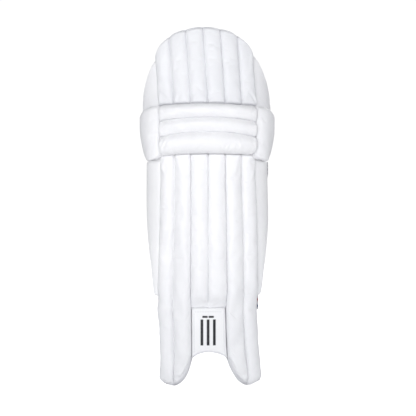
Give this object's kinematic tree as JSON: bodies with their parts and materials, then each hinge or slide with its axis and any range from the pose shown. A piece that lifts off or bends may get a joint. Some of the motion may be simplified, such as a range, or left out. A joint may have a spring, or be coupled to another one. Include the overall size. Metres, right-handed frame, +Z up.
{
  "type": "cricket leg pad",
  "caption": "Left-leg cricket batting pad: vertical padded channels, knee roll, domed top hat, notched instep, side wings and hook-and-loop straps behind the leg.",
  "frame": {"origin": "on the vertical axis of the wearer's leg, level with the lowest point of the toes", "axes": "+Z up along the leg; the front faces -Y; +X is the outer side of the left leg, where the straps close"},
  "size_m": [0.2922, 0.2361, 0.7599],
  "materials": {
    "pu_leather": "satin",
    "binding": "satin",
    "foam": "matte",
    "wadding": "matte",
    "lining_cloth": "matte",
    "cane": "matte",
    "badge_film": "satin",
    "webbing": "matte",
    "hook_tape": "matte",
    "loop_tape": "matte",
    "grip_rubber": "satin"
  },
  "bodies": {
    "shin_guard": {"instep_badge": "badge_film", "instep_foam": "foam", "instep_patch": "pu_leather", "shin_bolster_inner": "lining_cloth", "shin_bolster_outer": "lining_cloth", "shin_canes": "cane", "shin_facing": "pu_leather", "shin_foam_sheet": "foam", "shin_lining": "lining_cloth", "shin_wadding_1": "wadding", "shin_wadding_2": "wadding", "shin_wadding_3": "wadding", "shin_wadding_4": "wadding", "shin_wadding_5": "wadding", "shin_wadding_6": "wadding", "strap_ankle_anchor": "webbing", "strap_ankle_flap": "webbing", "strap_ankle_loop": "loop_tape", "strap_calf_anchor": "webbing", "strap_calf_loop": "loop_tape", "toe_binding_inner": "binding", "toe_binding_outer": "binding", "wing_cover_inner": "pu_leather", "wing_cover_outer": "pu_leather", "wing_foam_inner": "foam", "wing_foam_outer": "foam", "wing_lining_inner": "lining_cloth", "wing_lining_outer": "lining_cloth"},
    "knee_roll": {"knee_bolster_lower": "foam", "knee_bolster_middle": "foam", "knee_bolster_upper": "foam", "knee_cup": "lining_cloth", "knee_foam_sheet": "foam", "knee_lining": "lining_cloth", "knee_locator_inner": "lining_cloth", "knee_locator_outer": "lining_cloth", "knee_roll_cover": "pu_leather", "knee_side_bolster_inner": "foam", "knee_side_bolster_outer": "foam", "knee_side_cover_inner": "pu_leather", "knee_side_cover_outer": "pu_leather"},
    "top_hat": {"top_hat_canes": "cane", "top_hat_facing": "pu_leather", "top_hat_foam_sheet": "foam", "top_hat_lining": "lining_cloth", "top_hat_side_cover_inner": "pu_leather", "top_hat_side_cover_outer": "pu_leather", "top_hat_side_foam_inner": "foam", "top_hat_side_foam_outer": "foam", "top_hat_wadding": "wadding"},
    "calf_strap": {"strap_calf_band": "webbing"},
    "calf_strap_end": {"strap_calf_end": "webbing", "strap_calf_grip": "grip_rubber", "strap_calf_hook": "hook_tape"},
    "ankle_strap": {"strap_ankle_band": "webbing"},
    "ankle_strap_end": {"strap_ankle_end": "webbing", "strap_ankle_grip": "grip_rubber", "strap_ankle_hook": "hook_tape"}
  },
  "joints": [
    {"name": "knee_flex", "type": "hinge", "parent": "shin_guard", "child": "knee_roll", "pos_m": [0, -0.084, 0.49525], "axis": [1, 0, 0], "range_deg": [0, 15], "stiffness_Nm_per_rad": 4},
    {"name": "top_hat_flex", "type": "hinge", "parent": "knee_roll", "child": "top_hat", "pos_m": [0, -0.084, 0.59675], "axis": [1, 0, 0], "range_deg": [0, 25], "stiffness_Nm_per_rad": 4},
    {"name": "calf_strap_swing", "type": "hinge", "parent": "shin_guard", "child": "calf_strap", "pos_m": [-0.12154, 0.04355, 0.467], "axis": [0, 0, 1], "range_deg": [0, 100]},
    {"name": "calf_strap_peel", "type": "hinge", "parent": "calf_strap", "child": "calf_strap_end", "pos_m": [0.13306, 0.03863, 0.467], "axis": [0, 0, 1], "range_deg": [0, 90]},
    {"name": "ankle_strap_swing", "type": "hinge", "parent": "shin_guard", "child": "ankle_strap", "pos_m": [-0.10604, 0.02729, 0.168], "axis": [0, 0, 1], "range_deg": [0, 100]},
    {"name": "ankle_strap_peel", "type": "hinge", "parent": "ankle_strap", "child": "ankle_strap_end", "pos_m": [0.11159, 0.02606, 0.168], "axis": [0, 0, 1], "range_deg": [0, 90]}
  ]
}
